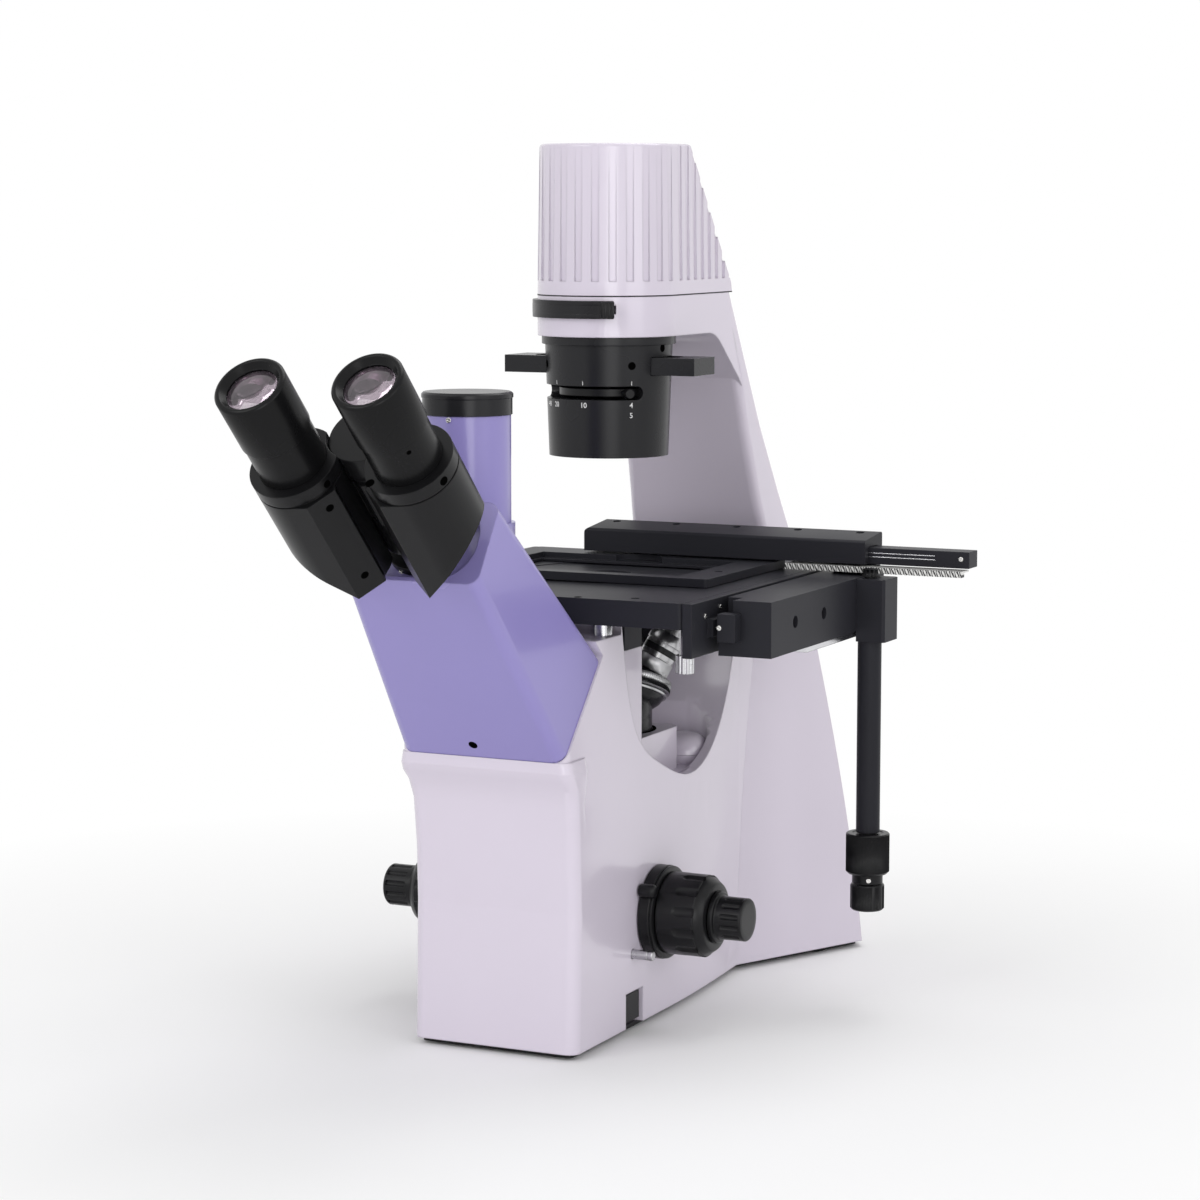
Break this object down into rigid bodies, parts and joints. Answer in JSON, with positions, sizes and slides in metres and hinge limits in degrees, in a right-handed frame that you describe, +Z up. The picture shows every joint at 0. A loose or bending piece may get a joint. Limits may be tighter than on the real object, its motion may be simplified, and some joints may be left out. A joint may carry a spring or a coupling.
{
  "type": "inverted microscope",
  "caption": "Inverted microscope with trinocular head, mechanical stage, objective turret in an open bay, leaning pillar with ribbed lamp house and condenser.",
  "frame": {"origin": "centre of the bounding box at bench level", "axes": "+X to the right seen from the eyepieces, +Y to the back (eyepieces at -Y), +Z up"},
  "size_m": [0.338, 0.5782, 0.521],
  "materials": {
    "pale_paint": "gloss, pale lilac white",
    "purple_paint": "gloss, lavender purple",
    "black_paint": "satin black",
    "black_plastic": "satin black",
    "chrome": "polished",
    "steel": "turned",
    "aluminium": "milled",
    "white_plastic": "moulded",
    "glass": "polished",
    "mirror": "polished",
    "rubber": "matt"
  },
  "bodies": {
    "stand": {"stand_base": "pale_paint", "base_plate": "black_paint", "rubber_feet": "rubber", "pillar_arm": "pale_paint", "lamp_house_cover": "pale_paint", "lamp_tube": "black_paint", "led_module": "aluminium", "collector_lens": "glass", "diaphragm_band": "black_paint", "condenser_mount": "black_paint", "condenser_body": "black_paint", "condenser_lens": "glass", "head_housing": "purple_paint", "photo_tube": "purple_paint", "stage_plate": "black_paint", "stage_insert": "steel", "stage_guide": "black_paint", "y_rack": "steel", "stage_standoffs": "chrome", "thumb_screw": "chrome", "support_block": "black_paint", "light_prisms": "mirror", "relay_tube": "black_paint", "mains_inlet": "black_plastic"},
    "field_diaphragm": {"diaphragm_lever": "black_plastic"},
    "aperture_diaphragm": {"aperture_lever": "black_plastic"},
    "phase_slide": {"phase_slider": "black_paint"},
    "port_cap": {"photo_tube_cap": "black_plastic"},
    "binocular_head": {"binocular_flange": "black_paint", "hinge_pivot": "black_paint"},
    "ocular_left": {"prism_box_left": "black_paint", "eyepiece_tube_left": "black_paint"},
    "ocular_right": {"prism_box_right": "black_paint", "eyepiece_tube_right": "black_paint"},
    "dioptre_left": {"eyepiece_left": "black_paint", "eye_lens_left": "glass"},
    "dioptre_right": {"eyepiece_right": "black_paint", "eye_lens_right": "glass"},
    "carriage": {"y_carriage": "black_paint", "guide_clamp": "black_paint", "rail_housing": "black_paint", "gearbox": "black_paint", "stage_post": "black_paint"},
    "upper_stage_knob": {"y_knob": "black_plastic"},
    "lower_stage_knob": {"x_knob": "black_plastic"},
    "cross_slide": {"x_bar": "black_paint", "x_rack": "white_plastic", "specimen_holder": "black_paint"},
    "nosepiece": {"focus_sleeve": "black_paint", "turret_base": "black_paint"},
    "objective_turret": {"turret": "chrome", "objectives": "chrome"},
    "coarse_drive": {"focus_shaft": "steel", "coarse_knob_left": "black_plastic", "coarse_knob_right": "black_plastic"},
    "fine_right": {"fine_knob_right": "black_plastic"},
    "fine_left": {"fine_knob_left": "black_plastic"},
    "tension": {"tension_ring": "black_plastic"},
    "path_rod": {"light_path_rod": "chrome"},
    "rocker": {"brightness_rocker": "black_plastic"}
  },
  "joints": [
    {"name": "field_diaphragm_turn", "type": "hinge", "parent": "stand", "child": "field_diaphragm", "pos_m": [-0.042, 0.0851, 0.4234], "axis": [0, 0, 1], "range_deg": [-80, 0]},
    {"name": "aperture_diaphragm_turn", "type": "hinge", "parent": "stand", "child": "aperture_diaphragm", "pos_m": [-0.042, 0.0851, 0.3737], "axis": [0, 0, 1], "range_deg": [-115, 5]},
    {"name": "phase_slide_move", "type": "slide", "parent": "stand", "child": "phase_slide", "axis": [1, 0, 0], "range_m": [-0.038, 0.038]},
    {"name": "port_cap_lift", "type": "slide", "parent": "stand", "child": "port_cap", "axis": [0, 0, 1], "range_m": [0, 0.03]},
    {"name": "head_turn", "type": "hinge", "parent": "stand", "child": "binocular_head", "pos_m": [-0.042, -0.1464, 0.3005], "axis": [0, -0.7071, 0.7071], "range_deg": [-12, 12]},
    {"name": "ocular_right_fold", "type": "hinge", "parent": "binocular_head", "child": "ocular_right", "pos_m": [-0.042, -0.1464, 0.3005], "axis": [0, -0.7071, 0.7071], "range_deg": [-13, 12.6]},
    {"name": "ocular_left_fold", "type": "hinge", "parent": "binocular_head", "child": "ocular_left", "pos_m": [-0.042, -0.1464, 0.3005], "axis": [0, -0.7071, 0.7071], "range_deg": [-12.6, 13]},
    {"name": "dioptre_right_turn", "type": "hinge", "parent": "ocular_right", "child": "dioptre_right", "pos_m": [-0.00688, -0.16005, 0.28685], "axis": [0, -0.7071, 0.7071], "range_deg": [-90, 90]},
    {"name": "dioptre_left_turn", "type": "hinge", "parent": "ocular_left", "child": "dioptre_left", "pos_m": [-0.07367, -0.16377, 0.28313], "axis": [0, -0.7071, 0.7071], "range_deg": [-90, 90]},
    {"name": "carriage_move", "type": "slide", "parent": "stand", "child": "carriage", "axis": [0, 1, 0], "range_m": [-0.036, 0.036]},
    {"name": "upper_stage_knob_turn", "type": "hinge", "parent": "carriage", "child": "upper_stage_knob", "pos_m": [0.1115, 0.1276, 0.108], "axis": [0, 0, 1], "range_deg": [-327, 327]},
    {"name": "cross_slide_move", "type": "slide", "parent": "carriage", "child": "cross_slide", "axis": [1, 0, 0], "range_m": [-0.05, 0.05]},
    {"name": "lower_stage_knob_turn", "type": "hinge", "parent": "carriage", "child": "lower_stage_knob", "pos_m": [0.1115, 0.1276, 0.108], "axis": [0, 0, 1], "range_deg": [-620, 620]},
    {"name": "nosepiece_move", "type": "slide", "parent": "stand", "child": "nosepiece", "axis": [0, 0, 1], "range_m": [-0.0045, 0.0045]},
    {"name": "turret_turn", "type": "hinge", "parent": "nosepiece", "child": "objective_turret", "pos_m": [-0.042, 0.10316, 0.2022], "axis": [0, 0.3746, 0.9272], "continuous": true},
    {"name": "coarse_turn", "type": "hinge", "parent": "stand", "child": "coarse_drive", "pos_m": [-0.042, 0.0401, 0.067], "axis": [1, 0, 0], "range_deg": [-43, 43]},
    {"name": "fine_right_turn", "type": "hinge", "parent": "stand", "child": "fine_right", "pos_m": [-0.042, 0.0401, 0.067], "axis": [1, 0, 0], "continuous": true},
    {"name": "fine_left_turn", "type": "hinge", "parent": "stand", "child": "fine_left", "pos_m": [-0.042, 0.0401, 0.067], "axis": [1, 0, 0], "continuous": true},
    {"name": "tension_turn", "type": "hinge", "parent": "stand", "child": "tension", "pos_m": [-0.042, 0.0401, 0.067], "axis": [1, 0, 0], "range_deg": [-30, 30]},
    {"name": "path_rod_pull", "type": "slide", "parent": "stand", "child": "path_rod", "axis": [1, 0, 0], "range_m": [0, 0.012]},
    {"name": "rocker_tilt", "type": "hinge", "parent": "stand", "child": "rocker", "pos_m": [0.0061, 0.0101, 0.0155], "axis": [0, 1, 0], "range_deg": [-6, 6], "stiffness_Nm_per_rad": 0.05}
  ],
  "couplings": [
    {"joint": "ocular_left_fold", "follows": "ocular_right_fold", "ratio": -1},
    {"joint": "upper_stage_knob_turn", "follows": "carriage_move", "rad_per_m": 157.48},
    {"joint": "lower_stage_knob_turn", "follows": "cross_slide_move", "rad_per_m": -212.77},
    {"joint": "coarse_turn", "follows": "nosepiece_move", "rad_per_m": 166.67},
    {"joint": "fine_left_turn", "follows": "fine_right_turn", "ratio": 1}
  ]
}
